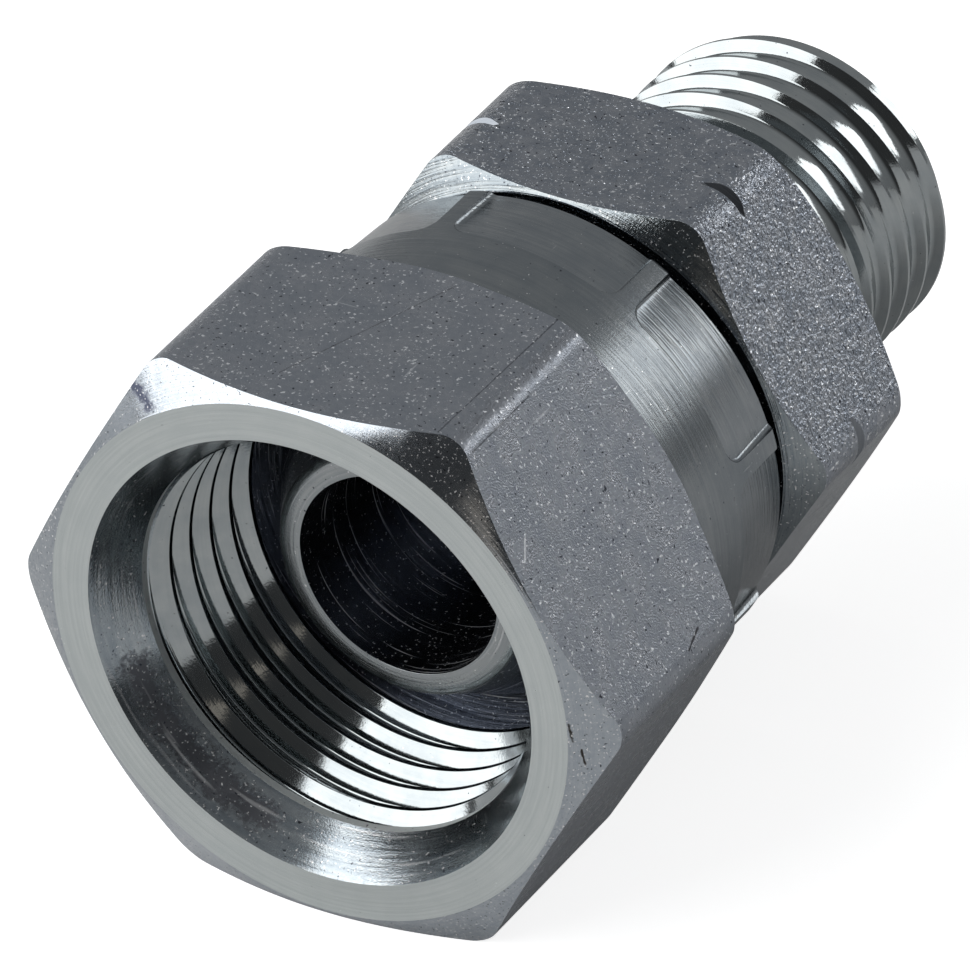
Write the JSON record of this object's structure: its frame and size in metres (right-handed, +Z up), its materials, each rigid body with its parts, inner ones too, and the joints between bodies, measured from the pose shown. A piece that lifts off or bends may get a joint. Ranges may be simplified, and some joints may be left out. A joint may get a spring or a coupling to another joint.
{
  "type": "hose connector",
  "caption": "Straight steel swivel adaptor for hydraulic hose: an open swivel nut with an internal pipe thread crimped on a hexagonal body with a male pipe thread.",
  "frame": {"origin": "centre of the bounding box at its bottom, on the lowest flat of the nut's hexagon", "axes": "+Y along the fitting's axis from the nut's open mouth to the male end, +Z up from the flat that the nut lies on"},
  "size_m": [0.025, 0.037, 0.022],
  "materials": {
    "plated_body": "bright zinc plate over turned steel and a blasted hexagon",
    "plated_nut": "bright zinc plate over turned steel and drawn hexagon flats"
  },
  "bodies": {
    "body": {"adapter_body": "plated_body"},
    "nut": {"swivel_nut": "plated_nut"}
  },
  "joints": [
    {"name": "nut_swivel", "type": "hinge", "parent": "body", "child": "nut", "pos_m": [0, -0.0075, 0.011], "axis": [0, 1, 0], "continuous": true}
  ]
}
